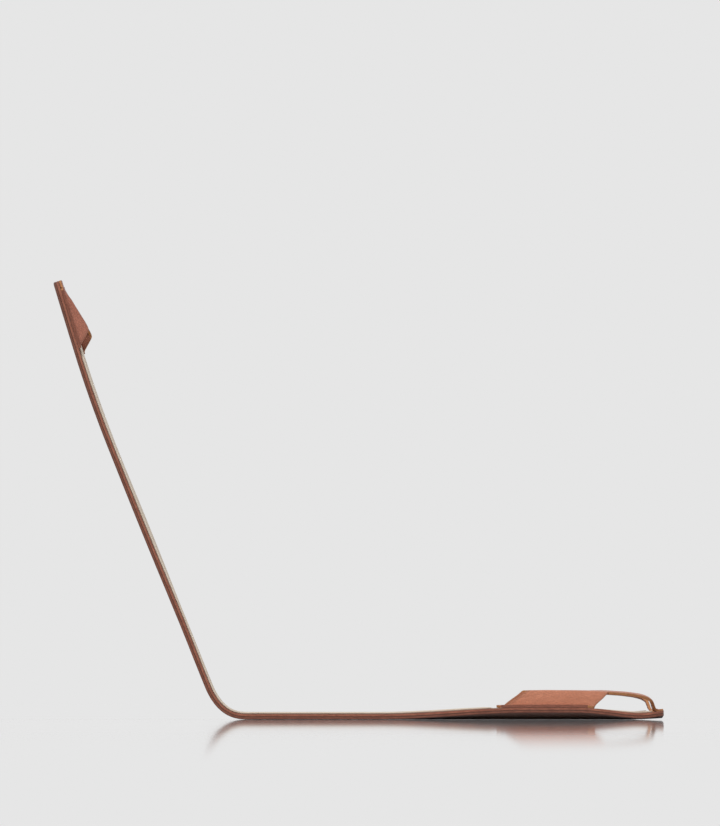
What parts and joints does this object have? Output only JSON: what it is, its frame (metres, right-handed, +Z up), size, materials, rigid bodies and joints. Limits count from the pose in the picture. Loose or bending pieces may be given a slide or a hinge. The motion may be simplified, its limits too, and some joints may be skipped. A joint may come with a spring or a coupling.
{
  "type": "laptop sleeve",
  "caption": "Leather laptop sleeve that opens like a book: a felt-lined folded cover with diagonal corner straps that hold the laptop while it is in use.",
  "frame": {"origin": "centre of the base flap's flat underside, on the table", "axes": "+Z up, +X towards the base flap's free end (the laptop user's side), -Y is the user's left; the fold runs along Y"},
  "size_m": [0.3136, 0.3156, 0.2254],
  "materials": {
    "outer_leather": "brown full-grain leather, waxed",
    "inner_leather": "brown leather, flesh side with burnished edges",
    "strap_leather": "tan full-grain leather with raw cut edges",
    "wool_felt": "cream wool felt, matt"
  },
  "bodies": {
    "base": {"base_outer_leather": "outer_leather", "base_inner_leather": "inner_leather", "base_felt": "wool_felt", "base_strap_left": "strap_leather", "base_strap_right": "strap_leather"},
    "spine": {"spine_outer_leather": "outer_leather", "spine_inner_leather": "inner_leather", "spine_felt": "wool_felt"},
    "lid": {"lid_outer_leather": "outer_leather", "lid_inner_leather": "inner_leather", "lid_felt": "wool_felt", "lid_strap_left": "strap_leather", "lid_strap_right": "strap_leather"}
  },
  "joints": [
    {"name": "base_fold", "type": "hinge", "parent": "base", "child": "spine", "pos_m": [-0.1093, 0, 0.0038], "axis": [0, 1, 0], "range_deg": [-16, 53.2], "stiffness_Nm_per_rad": 4},
    {"name": "lid_fold", "type": "hinge", "parent": "spine", "child": "lid", "pos_m": [-0.12128, 0, 0.0135], "axis": [0, 1, 0], "range_deg": [-7, 57.3], "stiffness_Nm_per_rad": 4}
  ]
}
